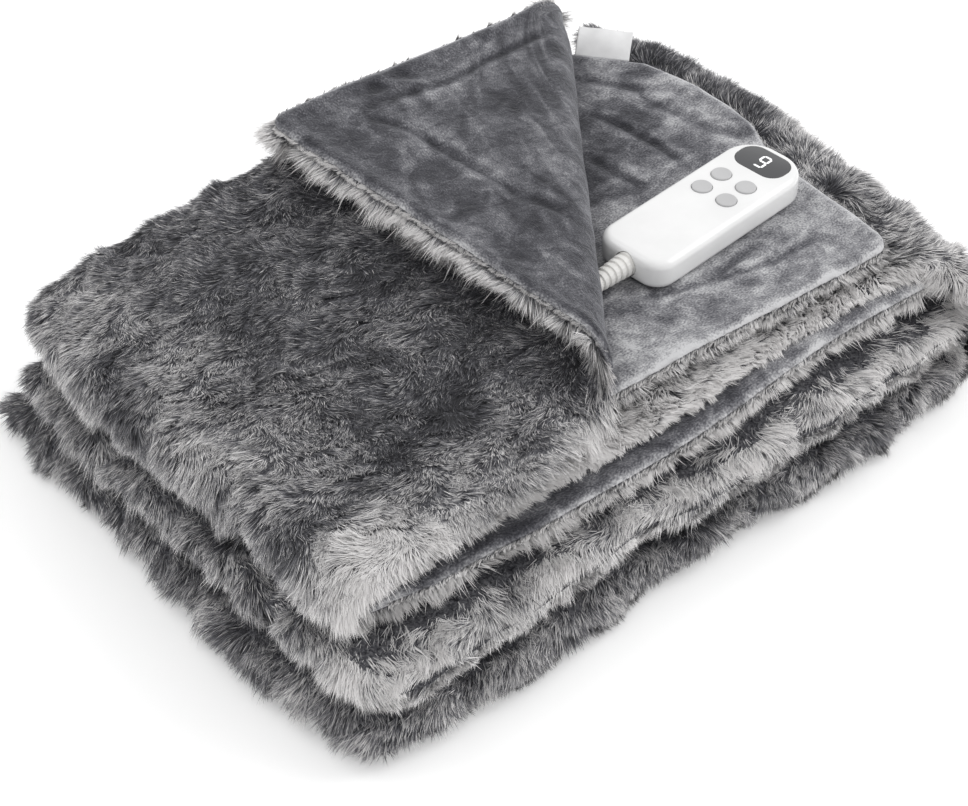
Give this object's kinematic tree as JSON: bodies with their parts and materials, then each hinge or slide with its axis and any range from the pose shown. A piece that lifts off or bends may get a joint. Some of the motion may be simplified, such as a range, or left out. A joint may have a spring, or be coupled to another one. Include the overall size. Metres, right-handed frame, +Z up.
{
  "type": "folded electric heated throw with handset",
  "caption": "Folded heated throw of faux fur and velvet, one corner turned back, with a push-button handset and its strain relief lying on the velvet.",
  "frame": {"origin": "under the middle of the folded stack, on the surface that it rests on", "axes": "+X along the long side of the stack, towards the handset's display end; +Z up; -Y towards the side where the folded layers' front hems show"},
  "size_m": [0.493, 0.357, 0.1331],
  "materials": {
    "faux_fur": "long grey faux-fur pile, soft sheen, lighter tips",
    "velvet": "short grey velvet pile with brushed nap",
    "satin": "plain white satin ribbon",
    "white_plastic": "white moulded plastic, satin gloss",
    "grey_plastic": "light grey moulded plastic, matt",
    "window": "dark smoked display window",
    "sleeve_plastic": "off-white flexible moulding"
  },
  "bodies": {
    "throw": {"fur_face": "faux_fur", "velvet_face": "velvet", "label": "satin", "handset_body": "white_plastic", "handset_window": "window", "strain_relief": "sleeve_plastic"},
    "key_1": {"button_1": "grey_plastic"},
    "key_2": {"button_2": "grey_plastic"},
    "key_3": {"button_3": "grey_plastic"},
    "key_4": {"button_4": "grey_plastic"}
  },
  "joints": [
    {"name": "press_1", "type": "slide", "parent": "throw", "child": "key_1", "axis": [0, 0, -1], "range_m": [0, 0.0006], "stiffness_N_per_m": 600, "springref_m": -0.0005},
    {"name": "press_2", "type": "slide", "parent": "throw", "child": "key_2", "axis": [0, 0, -1], "range_m": [0, 0.0006], "stiffness_N_per_m": 600, "springref_m": -0.0005},
    {"name": "press_3", "type": "slide", "parent": "throw", "child": "key_3", "axis": [0, 0, -1], "range_m": [0, 0.0006], "stiffness_N_per_m": 600, "springref_m": -0.0005},
    {"name": "press_4", "type": "slide", "parent": "throw", "child": "key_4", "axis": [0, 0, -1], "range_m": [0, 0.0006], "stiffness_N_per_m": 600, "springref_m": -0.0005}
  ]
}
